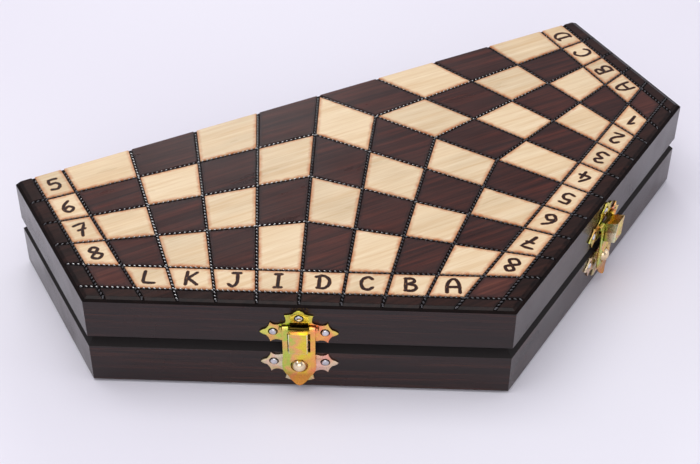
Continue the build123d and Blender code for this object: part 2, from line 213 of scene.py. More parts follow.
def field_material(name, light, dark, streak, scorch, specular):
    """Lacquered plywood: grain along the fold, a tone per field and burned edges."""
    s = Shader(name, roughness=0.34, specular=specular, coat=0.12)
    grain = s.noise((0.016, 0.42, 0.42), detail=4, distortion=0.4)
    fine = s.noise((0.07, 2.2, 2.2), detail=2)
    cloud = s.noise((0.035, 0.09, 0.09), detail=2)
    wood = s.ramp(grain, (0.28, dark), (0.5, light), (0.72, streak))
    wood = s.mix(s.ramp(fine, (0.34, 0.55), (0.5, 0.0)), wood, dark)
    shade = s.maths("MULTIPLY_ADD", s.attribute("tone"), 0.26, 0.87)
    shade = s.maths("MULTIPLY", shade, s.maths("MULTIPLY_ADD", cloud, 0.3, 0.85))
    wood = s.mix(1.0, wood, s.ramp(shade, (0.0, 0.0), (1.0, 1.0)), "MULTIPLY")
    burning = s.maths("MULTIPLY", s.attribute("edge"), s.noise(0.4, detail=3))
    burned = s.ramp(burning, (0.12, 0.0), (0.62, 0.8))
    s.bump(s.maths("ADD", grain, fine), 0.02, 0.6)
    return s.finish(s.mix(burned, wood, scorch), s.ramp(cloud, (0.3, 0.26), (0.7, 0.42)))


def burnt_material():
    """Charred wood with the plies showing as thin lines along the bevel."""
    s = Shader("burnt_edge", roughness=0.6, specular=0.06)
    dark_plies = ((0.0, 0.0), (0.28, 0.0), (0.32, 1.0), (0.36, 0.0), (0.6, 0.0), (0.66, 1.0), (0.72, 0.0))
    ply = s.ramp(s.attribute("depth"), *dark_plies)
    streak = s.noise((0.2, 0.2, 0.4), detail=3)
    char = s.ramp(streak, (0.3, srgb(7, 5, 5)), (0.7, srgb(20, 12, 11)))
    s.bump(s.maths("ADD", streak, ply), 0.06, 0.7)
    return s.finish(s.mix(s.maths("MULTIPLY", ply, 0.2), char, srgb(74, 46, 38)))


def rope_material():
    """Black, glossy ticks, so that a line glints where its ticks face a lamp."""
    s = Shader("knurled_line", roughness=0.13, specular=1.0)
    s.bsdf.inputs["IOR"].default_value = 1.75
    tone = s.noise(0.9, detail=2)
    s.bump(s.noise(3.0, detail=2), 0.02, 0.4)
    return s.finish(s.ramp(tone, (0.3, srgb(6, 6, 7)), (0.7, srgb(20, 14, 14))))


def stroke_material():
    """A burned stroke, lighter towards its rim."""
    s = Shader("burned_stroke", roughness=0.36, specular=0.22)
    patch = s.noise(1.1, detail=3)
    core = s.ramp(patch, (0.3, srgb(16, 8, 7)), (0.7, srgb(54, 26, 18)))
    rim = s.ramp(s.attribute("edge"), (0.5, 0.0), (1.0, 0.9))
    s.bump(patch, 0.05, 0.5)
    return s.finish(s.mix(rim, core, srgb(186, 128, 78)))


def wall_material(name, turn):
    """Near-black stained and lacquered wood, its grain along the wall, and a dark matt band along the closing
    line: painted shade for the groove between the halves.
    """
    s = Shader(name, roughness=0.2, specular=0.38)
    grain = s.noise((0.012, 0.3, 0.5), detail=4, turn=turn, distortion=0.5)
    pores = s.noise((0.06, 1.6, 2.6), detail=2, turn=turn)
    stain = s.ramp(grain, (0.25, srgb(22, 12, 12)), (0.5, srgb(38, 20, 18)), (0.75, srgb(60, 31, 24)))
    stain = s.mix(s.ramp(pores, (0.36, 0.7), (0.46, 0.0)), stain, srgb(12, 8, 8))
    s.bump(s.maths("ADD", pores, grain), 0.03, 0.5)
    gloss = s.ramp(s.noise(0.05, detail=2), (0.3, 0.16), (0.7, 0.3))
    split = s.node("ShaderNodeSeparateXYZ", Vector=s.object_coordinates)
    from_rim = s.maths("ABSOLUTE", s.maths("MULTIPLY_ADD", split.outputs[2], 1 / MM, -CLOSING_Z))
    # Painted shade: the band each side of the closing line is dark and matt, standing in for the shadowed
    # groove between the halves.
    rim = s.maths("LESS_THAN", from_rim, PAINTED_RIM_SHADE)
    return s.finish(s.mix(rim, stain, srgb(16, 9, 8)), s.mix(rim, gloss, (0.8, 0.8, 0.8, 1)))


def chromate_material(name, face, silver=0.0, tip=0.0):
    """Yellow-chromated steel whose interference colours drift across the latch.

    silver is how far it pales, and tip how far it warms towards the hasp's tip.
    """
    s = Shader(name, roughness=0.26, metallic=1.0)
    turn = math.atan2(face[1][0], face[0][0])
    from_latch = s.node("ShaderNodeVectorMath", Vector=s.object_coordinates)
    from_latch.operation = "SUBTRACT"
    from_latch.inputs[1].default_value = face.translation * MM
    local = s.node("ShaderNodeMapping", Vector=from_latch.outputs[0])
    local.inputs["Rotation"].default_value = (0, 0, -turn)
    split = s.node("ShaderNodeSeparateXYZ", Vector=local.outputs[0])
    across = s.maths("MULTIPLY_ADD", split.outputs[0], 1 / (LATCH_WIDTH * MM), 0.5)
    cloud = s.noise(0.16, detail=2, distortion=0.6)
    drift = s.maths("MULTIPLY_ADD", s.maths("SUBTRACT", cloud, 0.5), 0.55, across)
    colour = s.ramp(drift, *CHROMATE_HUES)
    crown = s.ramp(s.maths("MULTIPLY", split.outputs[2], 1 / (LATCH_REACH * MM)), (0.62, 0.0), (0.72, 0.75))
    colour = s.mix(crown, colour, srgb(206, 204, 84))
    warm = s.ramp(s.maths("MULTIPLY", split.outputs[2], -1 / (LATCH_REACH * MM)), (0.42, 0.0), (0.62, tip))
    colour = s.mix(warm, colour, srgb(214, 122, 66))
    colour = s.mix(s.ramp(cloud, (0.3, 0.3 * silver), (0.7, silver)), colour, srgb(236, 214, 206))
    # Painted highlight: the edge attribute turns the hasp box's front edges near-white.
    colour = s.mix(s.attribute("edge"), colour, srgb(250, 246, 214))
    # Painted shade: the shade attribute turns the box's hollow and the pan behind the window dark olive.
    colour = s.mix(s.attribute("shade"), colour, srgb(88, 72, 26))
    scratch = s.noise((1.2, 1.2, 6.0), detail=2)
    s.bump(scratch, 0.03, 0.3)
    return s.finish(colour, s.ramp(s.noise(0.6), (0.3, 0.2), (0.7, 0.34)))


CHROMATE_HUES = (
    (0.04, srgb(222, 218, 110)),
    (0.2, srgb(240, 178, 112)),
    (0.36, srgb(186, 208, 92)),
    (0.45, srgb(246, 176, 120)),
    (0.54, srgb(232, 214, 70)),
    (0.66, srgb(244, 184, 96)),
    (0.8, srgb(250, 152, 112)),
    (0.98, srgb(238, 206, 108)),
)


def metal_material(name, low, high, roughness, scale=0.5):
    """Plain metal with a drifting tone and faint wear."""
    s = Shader(name, roughness=roughness, metallic=1.0)
    patch = s.noise((scale, scale, scale), detail=3)
    s.bump(s.noise(4.0, detail=2), 0.02, 0.4)
    wear_and_painted_highlight = s.ramp(patch, (0.3, roughness * 0.7), (0.7, roughness * 1.3))
    return s.finish(s.ramp(patch, (0.3, low), (0.7, high)), wear_and_painted_highlight)


def flock_material():
    """Green flocked lining: short fibres with a soft sheen."""
    s = Shader("green_flock", roughness=0.95, specular=0.15)
    s.bsdf.inputs["Sheen Weight"].default_value = 0.6
    s.bsdf.inputs["Sheen Roughness"].default_value = 0.5
    fibre = s.noise(2.4, detail=4, roughness=0.7)
    nap = s.noise(0.08, detail=3)
    base = s.ramp(fibre, (0.3, srgb(22, 58, 36)), (0.7, srgb(46, 96, 60)))
    s.bump(fibre, 0.25, 0.8)
    return s.finish(s.mix(s.ramp(nap, (0.35, 0.0), (0.75, 0.35)), base, srgb(70, 122, 82)))


def turned_material(name, dark, light):
    """Polished wood with its grain along the piece."""
    s = Shader(name, roughness=0.3, specular=0.45, coat=0.2)
    grain = s.noise((0.9, 0.03, 0.9), detail=4, distortion=0.4)
    fine = s.noise((3.2, 0.2, 3.2), detail=2)
    wood = s.ramp(grain, (0.3, dark), (0.7, light))
    wood = s.mix(s.ramp(fine, (0.36, 0.5), (0.5, 0.0)), wood, dark)
    s.bump(grain, 0.03, 0.4)
    return s.finish(wood)


# Mesh helpers


def add_object(name, data):
    made = bpy.data.objects.new(name, data)
    bpy.context.scene.collection.objects.link(made)
    return made


def build(name, form, materials, body, place=Matrix(), smooth=False, kinds=None, attributes=None):
    """A mesh object from a form, its vertices in millimetres and its faces, riding a body."""
    vertices, faces = form
    mesh = bpy.data.meshes.new(name)
    mesh.from_pydata([place @ Vector(v) * MM for v in vertices], [], faces)
    for material in materials:
        mesh.materials.append(material)
    if kinds:
        mesh.polygons.foreach_set("material_index", kinds)
    mesh.polygons.foreach_set("use_smooth", [smooth] * len(mesh.polygons))
    for key, values in (attributes or {}).items():
        mesh.attributes.new(key, "FLOAT", "POINT").data.foreach_set("value", values)
    mesh.validate()
    made = add_object(name, mesh)
    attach(made, body)
    return made


def crisp(piece, degrees):
    """Sharp shading at every edge that turns more than this."""
    split = piece.modifiers.new("crisp", "EDGE_SPLIT")
    split.split_angle = math.radians(degrees)


def form_of(work, place=Matrix()):
    """A bmesh as a form, with the bmesh freed."""
    work.verts.index_update()
    form = [place @ v.co for v in work.verts], [tuple(v.index for v in f.verts) for f in work.faces]
    work.free()
    return form


def walls(rings):
    """Faces between each ring of vertex numbers and the next."""
    faces = []
    for low, high in zip(rings, rings[1:]):
        for k in range(len(low)):
            n = (k + 1) % len(low)
            faces.append((low[k], low[n], high[n], high[k]))
    return faces


def stacked(count, rings):
    """The vertex numbers of so many rings, made one after the other."""
    return [range(start, start + count) for start in range(0, count * rings, count)]


def inset(points, distances):
    """A convex outline, drawn anticlockwise, with each edge moved in by its distance."""
    count = len(points)
    lines = []
    for k in range(count):
        a, b = points[k], points[(k + 1) % count]
        normal = Vector((a.y - b.y, b.x - a.x)).normalized()
        lines.append((normal, normal.dot(a) + distances[k]))
    moved = []
    for k in range(count):
        (n0, d0), (n1, d1) = lines[k - 1], lines[k]
        det = n0.x * n1.y - n0.y * n1.x
        moved.append(Vector(((d0 * n1.y - d1 * n0.y) / det, (n0.x * d1 - n1.x * d0) / det)))
    return moved


def lathe(outline, segments, place):
    """A turned form, from (radius, height) points up its axis."""
    vertices, faces, rings = [], [], []
    for radius, height in outline:
        if radius < 1e-6:
            rings.append([len(vertices)])
            vertices.append(place @ Vector((0, 0, height)))
            continue
        rings.append(list(range(len(vertices), len(vertices) + segments)))
        for k in range(segments):
            a = 2 * math.pi * k / segments
            vertices.append(place @ Vector((radius * math.cos(a), radius * math.sin(a), height)))
    for low, high in zip(rings, rings[1:]):
        for k in range(segments):
            j = (k + 1) % segments
            if len(low) == 1:
                faces.append((low[0], high[j], high[k]))
            elif len(high) == 1:
                faces.append((low[k], low[j], high[0]))
            else:
                faces.append((low[k], low[j], high[j], high[k]))
    return vertices, faces


def join(parts):
    """One form from several."""
    vertices, faces = [], []
    for more_vertices, more_faces in parts:
        base = len(vertices)
        vertices.extend(more_vertices)
        faces.extend(tuple(base + i for i in face) for face in more_faces)
    return vertices, faces


def arc(centre_r, centre_z, radius, start, end, steps):
    """Points of an arc, as (radius, height), between two angles in degrees."""
    points = []
    for k in range(steps + 1):
        t = math.radians(start + (end - start) * k / steps)
        points.append((max(centre_r + radius * math.cos(t), 0.0), centre_z + radius * math.sin(t)))
    return points


def smooth_line(points, steps):
    """A Catmull-Rom curve through the points."""
    ends = [2 * points[0] - points[1], *points, 2 * points[-1] - points[-2]]
    line = []
    for a, b, c, d in zip(ends, ends[1:], ends[2:], ends[3:]):
        for k in range(steps):
            t = k / steps
            line.append(
                0.5 * (2 * b + (c - a) * t + (2 * a - 5 * b + 4 * c - d) * t * t
                       + (3 * b - a - 3 * c + d) * t * t * t)
            )
    return [*line, points[-1]]


# The board's drawing, in the plane of the open hexagon


def normal_of(side):
    angle = math.radians(180 + 60 * side)
    return Vector((math.cos(angle), math.sin(angle)))


def corner_of(vertex, apothem):
    angle = math.radians(150 + 60 * vertex)
    return Vector((math.cos(angle), math.sin(angle))) * apothem * 2 / math.sqrt(3)


def cross(a, b, side, apothem):
    """Where the line through a and b meets the line along a side, at that apothem."""
    n = normal_of(side)
    share = (apothem - n.dot(a)) / n.dot(b - a)
    return a + (b - a) * share


INNER = APOTHEM - INNER_GROOVE
OUTER = APOTHEM - OUTER_GROOVE
EDGE = APOTHEM - BEVEL_WIDTH
LINE_REACH = EDGE + LINE_END
CENTRE = Vector((0, 0))
LABELS = {                    # by (corner, side), from the corner's far end of that half side
    (1, 0): "5678", (1, 1): "LKJI",
    (2, 1): "DCBA", (2, 2): "8765",
    (3, 2): "4321", (3, 3): "ABCD",
    (4, 3): "EFGH", (4, 4): "1234",
    (5, 4): "9XYZ", (5, 5): "HGFE",
    (6, 5): "IJKL", (6, 6): "ZYX9",
}
WORDS = {"X": "10", "Y": "11", "Z": "12"}
FOLD_BANDS = ((1, 0), (3, 3), (4, 3), (6, 6))
FOLD_EDGES = {1: 0, 3: 3, 4: 0, 6: 3}        # by corner: which edge of a field can lie on the fold


def kite_point(vertex, s, t):
    """A point of a player's kite, s and t from 0 at the board's centre to 1 at its corner."""
    before = normal_of(vertex - 1) * INNER
    after = normal_of(vertex) * INNER
    corner = corner_of(vertex, INNER)
    return s * (1 - t) * before + s * t * corner + (1 - s) * t * after


class Tiles:
    """Raised fields between the grooves, gathered into one mesh."""

    def __init__(self):
        self.vertices, self.faces, self.kinds = [], [], []
        self.edge, self.tone = [], []

    def add(self, points, borders, kind):
        """One field. borders says what lies along each edge: groove, fold or bevel."""
        if sum(a.x * b.y - b.x * a.y for a, b in zip(points, points[1:] + points[:1])) < 0:
            points, borders = points[::-1], borders[-2::-1] + borders[-1:]
        slope = BEVEL_WIDTH / BEVEL_DROP
        creep = STRIP_SCORCH if kind == STRIP else SCORCH_WIDTH
        foot = GROOVE_DEPTH + HIDDEN_DEPTH
        rings = []
        for height, groove, fold, bevel, edge in (
            (-foot, GROOVE_HALF - FIELD_ROUND, FOLD_GAP, -foot * slope + 0.02, 1.0),
            (-FIELD_ROUND, GROOVE_HALF, FOLD_GAP, -FIELD_ROUND * slope, 1.0),
            (0.0, GROOVE_HALF + FIELD_ROUND, FOLD_GAP, FIELD_ROUND, 1.0),
            (0.0, GROOVE_HALF + creep, FOLD_GAP + 0.3, creep, 0.0),
        ):
            away = {"groove": groove, "fold": fold, "bevel": bevel}
            outline = inset(points, [away[b] for b in borders])
            rings.append(range(len(self.vertices), len(self.vertices) + len(points)))
            self.vertices.extend((p.x, p.y, height) for p in outline)
            self.edge.extend([edge] * len(points))
        self.tone.extend([random.random()] * (4 * len(points)))
        made = [tuple(reversed(rings[0])), tuple(rings[3]), *walls(rings)]
        self.faces.extend(made)
        self.kinds.extend([kind] * len(made))


PALE, DARK, BORDER, STRIP, BURNT = range(5)


def band_cells(vertex, side, tiles, labels):
    """Letter cells and edge strip along one half of a side, and once the corner's own cells."""
    ahead = vertex == side
    columns = []
    for k in range(GRID + 1):
        share = k / GRID
        if ahead:
            columns.append((kite_point(vertex, share, 0), kite_point(vertex, share, 1)))
        else:
            columns.append((kite_point(vertex, 0, share), kite_point(vertex, 1, share)))
    inner, outer = columns[GRID]
    outer_corner = corner_of(vertex, OUTER)
    columns.append((outer_corner + (inner - outer), outer_corner))
    characters = LABELS[(vertex, side)][:: -1 if ahead else 1]
    for k, (near, far) in enumerate(zip(columns, columns[1:])):
        start = "fold" if k == 0 and (vertex, side) in FOLD_BANDS else "groove"
        p, s, s2 = (cross(*near, side, apothem) for apothem in (INNER, OUTER, EDGE))
        q, r, r2 = (cross(*far, side, apothem) for apothem in (INNER, OUTER, EDGE))
        if k < GRID:
            tiles.add([p, q, r, s], ["groove", "groove", "groove", start], PALE)
            labels.append(((p + q + r + s) / 4, side, characters[k]))
        tiles.add([s, r, r2, s2], ["groove", "groove", "bevel", start], STRIP)
    if ahead:
        other = kite_point(vertex, 0, 1)
        cell = [
            corner_of(vertex, INNER),
            cross(inner, outer, side, OUTER),
            outer_corner,
            cross(other, outer, side - 1, OUTER),
        ]
        tiles.add(cell, ["groove"] * 4, BORDER)
        own = cross(outer_corner, outer_corner + outer - inner, side, EDGE)
        across = cross(outer_corner, outer_corner + outer - other, side - 1, EDGE)
        tip = [outer_corner, own, corner_of(vertex, EDGE), across]
        tiles.add(tip, ["groove", "bevel", "bevel", "groove"], STRIP)


def draw_half(corners):
    """Fields, grooves and label places of one half. A groove is its ends and which way it leans."""
    tiles, grooves, labels = Tiles(), [], []
    for vertex in corners:
        fold_edge = FOLD_EDGES.get(vertex)
        for i in range(GRID):
            for j in range(GRID):
                turns = ((0, 0), (1, 0), (1, 1), (0, 1))
                points = [kite_point(vertex, (i + a) / GRID, (j + b) / GRID) for a, b in turns]
                borders = ["groove"] * 4
                if (fold_edge == 0 and j == 0) or (fold_edge == 3 and i == 0):
                    borders[fold_edge] = "fold"
                tiles.add(points, borders, DARK if (i + j + vertex) % 2 else PALE)
        for k in range(1, GRID):
            share = k / GRID
            for side, a, b in (
                (vertex, kite_point(vertex, share, 0), kite_point(vertex, share, 1)),
                (vertex - 1, kite_point(vertex, 0, share), kite_point(vertex, 1, share)),
            ):
                grooves.append((a, cross(a, b, side, LINE_REACH), 1))
        band_cells(vertex, vertex - 1, tiles, labels)
        band_cells(vertex, vertex, tiles, labels)
    first, last = corners[0], corners[-1]
    for side in range(first, last):
        grooves.append((CENTRE, normal_of(side) * LINE_REACH, 1))
    for side in range(first - 1, last + 1):
        along = Vector((-normal_of(side).y, normal_of(side).x))
        for apothem in (INNER, OUTER):
            middle = normal_of(side) * apothem
            start = middle if side == first - 1 else cross(middle, middle + along, side - 1, LINE_REACH)
            end = middle if side == last else cross(middle, middle + along, side + 1, LINE_REACH)
            grooves.append((start, end, -1))
    return tiles, grooves, labels


def panel_base():
    """The plywood under the fields, bevelled on its outer edges, as a form and its depths."""
    floor_inset = BEVEL_WIDTH * (BEVEL_DROP - GROOVE_DEPTH) / BEVEL_DROP
    vertices = []
    for height, shrink in ((-PANEL_THICKNESS, 0), (-BEVEL_DROP, 0), (-GROOVE_DEPTH, floor_inset)):
        reach = APOTHEM - shrink
        half_side = reach / math.sqrt(3)
        for x, y in ((-reach, -FOLD_GAP), (-reach, -half_side), (0, -2 * half_side)):
            vertices.append((x, y, height))
        vertices.extend([(reach, -half_side, height), (reach, -FOLD_GAP, height)])
    faces = [(4, 3, 2, 1, 0), (10, 11, 12, 13, 14), *walls(stacked(5, 3))]
    depth = [0.0] * 5 + [0.02] * 5 + [1.0] * 5
    return vertices, faces, depth


def knurl(grooves):
    """Slanting ticks along every groove, like a rope laid in it, clear of the fold."""
    parts = []
    for a, b, lean in grooves:
        length = (b - a).length
        along = (b - a) / length
        heading = math.atan2(along.y, along.x) + lean * TICK_TURN
        count = max(int(length / TICK_PITCH), 1)
        for k in range(count):
            middle = a + along * (k + 0.5) * length / count
            size = random.uniform(0.88, 1.1)
            if abs(middle.y) < TICK_LENGTH * size + FOLD_GAP:
                continue
            turn = Matrix.Rotation(heading, 2)
            vertices = []
            for share, height in ((1.0, -GROOVE_DEPTH - 0.02), (0.74, -GROOVE_DEPTH + 0.86 * TICK_HEIGHT)):
                for m in range(6):
                    t = math.pi * m / 3
                    reach = Vector((TICK_LENGTH * math.cos(t), TICK_WIDTH * math.sin(t))) * size * share
                    vertices.append((*(middle + turn @ reach), height))
            vertices.append((*middle, -GROOVE_DEPTH + TICK_HEIGHT))
            faces = [tuple(range(5, -1, -1)), *walls(stacked(6, 2))]
            faces += [(6 + m, 6 + (m + 1) % 6, 12) for m in range(6)]
            parts.append((vertices, faces))
    return join(parts)


# Letters and digits: strokes in hundredths of their height, from the lower left corner

GLYPHS = {
    "A": [[(0, 0), (2, 55), (20, 92), (42, 95), (58, 60), (62, 0)], [(4, 40), (60, 42)]],
    "B": [[(5, 98), (5, 2)], [(0, 95), (40, 95), (48, 72), (10, 53)], [(10, 53), (50, 45), (58, 20),
          (36, 2), (0, 4)]],
    "C": [[(58, 82), (36, 98), (8, 80), (0, 46), (12, 10), (38, 2), (60, 20)]],
    "D": [[(12, 94), (10, 4)], [(-8, 88), (30, 98), (60, 72), (60, 30), (36, 3), (0, 6)]],
    "E": [[(55, 95), (5, 97), (4, 50), (2, 3), (58, 5)], [(6, 50), (45, 52)]],
    "F": [[(55, 95), (5, 97), (4, 50), (3, 0)], [(6, 52), (42, 54)]],
    "G": [[(55, 84), (32, 98), (5, 78), (0, 42), (16, 6), (45, 3), (56, 40)], [(30, 42), (60, 42)]],
    "H": [[(3, 100), (3, 0)], [(56, 100), (56, 0)], [(4, 50), (55, 52)]],
    "I": [[(10, 96), (44, 97)], [(28, 95), (27, 4)], [(10, 3), (46, 4)]],
    "J": [[(16, 95), (56, 96)], [(40, 94), (42, 30), (24, 2), (2, 18)]],
    "K": [[(5, 100), (4, 0)], [(55, 96), (10, 48)], [(10, 50), (34, 30), (62, 2)]],
    "L": [[(4, 96), (2, 40), (8, 8), (62, 6)]],
    "1": [[(4, 68), (30, 98), (28, 50), (28, 0)]],
    "2": [[(3, 76), (24, 98), (50, 84), (44, 50), (2, 4), (58, 5)]],
    "3": [[(2, 88), (32, 98), (50, 76), (20, 54), (54, 34), (38, 3), (0, 12)]],
    "4": [[(36, 98), (2, 36), (62, 36)], [(42, 66), (40, 0)]],
    "5": [[(56, 96), (10, 96), (6, 58)], [(6, 56), (40, 60), (56, 32), (36, 3), (0, 10)]],
    "6": [[(46, 97), (14, 68), (2, 30), (26, 2), (54, 24), (34, 50), (6, 34)]],
    "7": [[(0, 92), (56, 96), (34, 50), (20, 0)], [(12, 50), (50, 53)]],
    "8": [[(30, 53), (6, 76), (28, 98), (50, 78), (30, 53), (2, 26), (28, 2), (56, 24), (30, 53)]],
    "9": [[(54, 62), (24, 50), (6, 74), (30, 98), (54, 80), (50, 36), (24, 0)]],
    "0": [[(28, 98), (3, 72), (4, 26), (28, 2), (54, 26), (54, 74), (28, 98)]],
}
CORNERED = set("EFL175")     # drawn with straight runs
GLYPH_MIDDLE = Vector((0.3, 0.5))
DIGIT_UP = {0: (0, 1), 6: (0, 1), 2: corner_of(2, 1) - corner_of(3, 1), 4: corner_of(4, 1) - corner_of(5, 1)}
STROKE_PROFILE = ((-1.0, 0.0, 1.0), (-0.62, 0.7, 0.35), (0.0, 0.35, 0.0), (0.62, 0.7, 0.35), (1.0, 0.0, 1.0))
STROKE_FOOT = -0.06           # sunk into the field


def glyph_up(side, character):
    """Which way is up for a character on this side, in the board's plane."""
    if character.isalpha() and character not in WORDS:
        return -normal_of(side)
    return Vector(DIGIT_UP[side]).normalized()


def ribbon(line):
    """A thin domed stroke with round ends along a line, as a form and its vertices' rims."""
    vertices, edge = [], []
    start = line[0] - (line[1] - line[0]).normalized() * STROKE_HALF * 0.8
    end = line[-1] + (line[-1] - line[-2]).normalized() * STROKE_HALF * 0.8
    stations = [(start, 0.35), *[(p, random.uniform(0.86, 1.12)) for p in line], (end, 0.35)]
    last = len(stations) - 1
    for k, (p, width) in enumerate(stations):
        tangent = (stations[min(k + 1, last)][0] - stations[max(k - 1, 0)][0]).normalized()
        across = Vector((-tangent.y, tangent.x)) * width * STROKE_HALF
        for offset, rise, rim in STROKE_PROFILE:
            vertices.append((*(p + across * offset), rise * STROKE_RISE + 0.004))
            edge.append(1.0 if k in (0, last) else rim)
        for offset in (1.0, -1.0):
            vertices.append((*(p + across * offset), STROKE_FOOT))
            edge.append(1.0)
    row = len(STROKE_PROFILE) + 2
    rings = stacked(row, last + 1)
    return vertices, [*walls(rings), tuple(rings[0][::-1]), tuple(rings[-1])], edge


def letter_strokes(labels):
    """All the strokes of a half's labels, as a form and its vertices' rims."""
    parts, edge = [], []
    for centre, side, character in labels:
        up = glyph_up(side, character)
        right = Vector((up.y, -up.x))
        word = WORDS.get(character, character)
        size = GLYPH_HEIGHT * random.uniform(0.93, 1.04)
        narrow = 1.0 if len(word) == 1 else DIGIT_NARROWING
        for place, letter in enumerate(word):
            shift = (place - (len(word) - 1) / 2) * DIGIT_STEP - GLYPH_MIDDLE.x
            for stroke in GLYPHS[letter]:
                points = []
                for x, y in stroke:
                    offset = narrow * (x / 100 + shift) * right + (y / 100 - GLYPH_MIDDLE.y) * up
                    points.append(centre + size * offset)
                line = smooth_line(points, 2 if letter in CORNERED else 5)
                vertices, faces, more_edge = ribbon(line)
                parts.append((vertices, faces))
                edge.extend(more_edge)
    return join(parts), edge


# Board panels

FIELD_COLOURS = {            # light, dark, streak and scorch, and then how glossy
    "pale": ((232, 207, 168), (222, 190, 146), (240, 219, 184), (184, 98, 42), 0.3),
    "dark": ((62, 32, 26), (38, 20, 18), (88, 42, 32), (20, 12, 12), 0.2),
    "border": ((84, 46, 38), (58, 30, 26), (104, 58, 46), (26, 15, 14), 0.2),
    "strip": ((46, 28, 23), (30, 19, 16), (60, 35, 28), (10, 7, 7), 0.1),
}
field_woods = []
for name, (*colours, gloss) in FIELD_COLOURS.items():
    field_woods.append(field_material(name + "_field", *(srgb(*c) for c in colours), gloss))
field_woods.append(burnt_material())
rope = rope_material()
burned_stroke = stroke_material()

WALL_TURNS = {"left": 90, "front_left": 30, "front_right": -30, "right": 90, "back": 0}
wall_woods = {}
for wall, turn in WALL_TURNS.items():
    wall_woods[wall] = wall_material("stained_" + wall, math.radians(turn))
SIDE_ORDER = {
    "lid": ("left", "front_left", "front_right", "right", "back"),
    "tray": ("right", "front_right", "front_left", "left", "back"),
}
HALVES = {                    # the corners on each half, and the place of its drawing
    "lid": ((1, 2, 3), Matrix.Translation((0, FOLD_Y, BOX_HEIGHT))),
    "tray": ((4, 5, 6), Matrix.Translation((0, FOLD_Y, 0)) @ Matrix.Rotation(math.pi, 4, "X")),
}
for half, (corners, place) in HALVES.items():
    tiles, grooves, labels = draw_half(corners)
    base_vertices, base_faces, base_depth = panel_base()
    if half == "tray":
        base_vertices = [(-x, -y, z) for x, y, z in base_vertices]
    count = len(base_vertices)
    board = build(
        half + "_board",
        join([(tiles.vertices, tiles.faces), (base_vertices, base_faces)]),
        field_woods + [wall_woods[side] for side in SIDE_ORDER[half]],
        half,
        place,
        kinds=tiles.kinds + [BURNT] * 2 + [BURNT + 1 + k for k in range(5)] + [BURNT] * 5,
        attributes={
            "edge": tiles.edge + [0.0] * count,
            "depth": [0.0] * len(tiles.vertices) + base_depth,
            "tone": tiles.tone + [0.5] * count,
        },
    )
    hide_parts(half + "_board_panel")
    build(half + "_board_rope_lines", knurl(grooves), [rope], half, place)
    strokes, rims = letter_strokes(labels)
    build(half + "_board_letters", strokes, [burned_stroke], half, place, attributes={"edge": rims})

# Walls and inserts keep their CAD shapes

green_flock = flock_material()


def dress(node, material, bevel=0.0):
    """A material for a CAD node, and where asked a small round on its edges."""
    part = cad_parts[node]
    part.data.materials.clear()
    part.data.materials.append(material)
    if bevel:
        soften = part.modifiers.new("soften", "BEVEL")
        soften.width = bevel * MM
        soften.segments = 2
        soften.limit_method = "ANGLE"
        soften.angle_limit = math.radians(35)


for wall, wood in wall_woods.items():
    for half in HALVES:
        dress(half + "_" + wall + "_wall", wood, 0.12)
for half in HALVES:
    dress(half + "_insert", green_flock, 0.25)

# Latches

nail_steel = metal_material("nail_steel", srgb(188, 186, 190), srgb(232, 230, 234), 0.24)
ball_steel = metal_material("ball_steel", srgb(226, 198, 154), srgb(250, 232, 200), 0.1, 0.3)
# Painted shade: the pin is dark olive so that it reads as lying in shade, not as a bright bar.
pin_steel_painted_shade = metal_material("pin_steel_painted_shade", srgb(74, 62, 26), srgb(112, 94, 40), 0.5)
NAIL_OUTLINE = [
    (0.0, -3.0), (0.7, -2.6), (0.7, 0.3), (1.45, 0.35), (1.5, 0.5), (1.3, 0.8), (0.8, 0.98), (0.0, 1.05)
]
UPPER_NAILS = ((-ARM_NAIL_U, UPPER_ARM_W), (ARM_NAIL_U, UPPER_ARM_W), (0, CROWN_NAIL_W))
LOWER_NAILS = ((-ARM_NAIL_U, LOWER_ARM_W), (ARM_NAIL_U, LOWER_ARM_W))
NAIL_HOLE = 1.8              # radius of the hole that shows round a nail's head
NAIL_HOLE_RISE = 0.3         # its middle, above the nail's
PLATE_ROUND = 0.14
ARM_ROOT = 4.1               # half the arm's height where it leaves the plate
ARM_TIP = ((10.85, 4.9), (12.5, 1.5), (14.8, 0.0), (12.5, -1.5), (10.85, -4.9))
ARM = ((6.8, ARM_ROOT), *ARM_TIP, (6.8, -ARM_ROOT))
ARM_BOWS = (0.85, 0.3, -0.25, -0.25, 0.3, 0.85)
CROWN = ((0.0, 19.1), (2.2, 17.5), (5.4, 16.7), (5.0, 13.3))
CROWN_BOWS = (-0.35, 0.25, 0.25, 0.2)
PLATE_FEET = ((5.1, -13.0), (5.6, -15.7), (3.2, -16.75), (0.0, -15.9))
FEET_BOWS = (0.2, 0.15, -0.1, 0.2)
PIVOT_V = 1.45
PIVOT_W = 10.9
SLOT = (3.7, 6.4, PIVOT_W - 1.3, PIVOT_W + 1.3)        # u and w, each from and to
WINDOW = ((3.4, 13.2), (3.4, 9.3), (5.0, 9.3), (5.0, 4.7))
PAN = ((-5.3, 4.5, 0.02), (5.3, 13.4, 0.2))            # closes the window from behind, and is painted dark as shade
PAN_PAINTED_SHADE_V = 0.25
LUG_U = 6.8
LUG_HALF = 0.35
LUG_RISE = 1.0               # above and below the pivot
LUG_V = (0.3, 2.4)
HASP_BACK = 2.05
HASP_FRONT = 2.65
HASP_ROUND = 0.12
HASP_HALF = 6.25
HASP_FLANK_HALF = 6.15
HASP_TIP_W = -16.9
HASP_SHOULDERS = ((HASP_FLANK_HALF, -3.2), (6.45, -7.5), (4.3, -12.6), (1.0, -16.6))
HASP_BOWS = (-0.12, -0.55, -0.35)
LIP_START_W = -12.8
LIP_KICK = 0.9
SLIT = (3.45, 4.25, 0.0, 9.4)
BALL_HOLE = 3.3
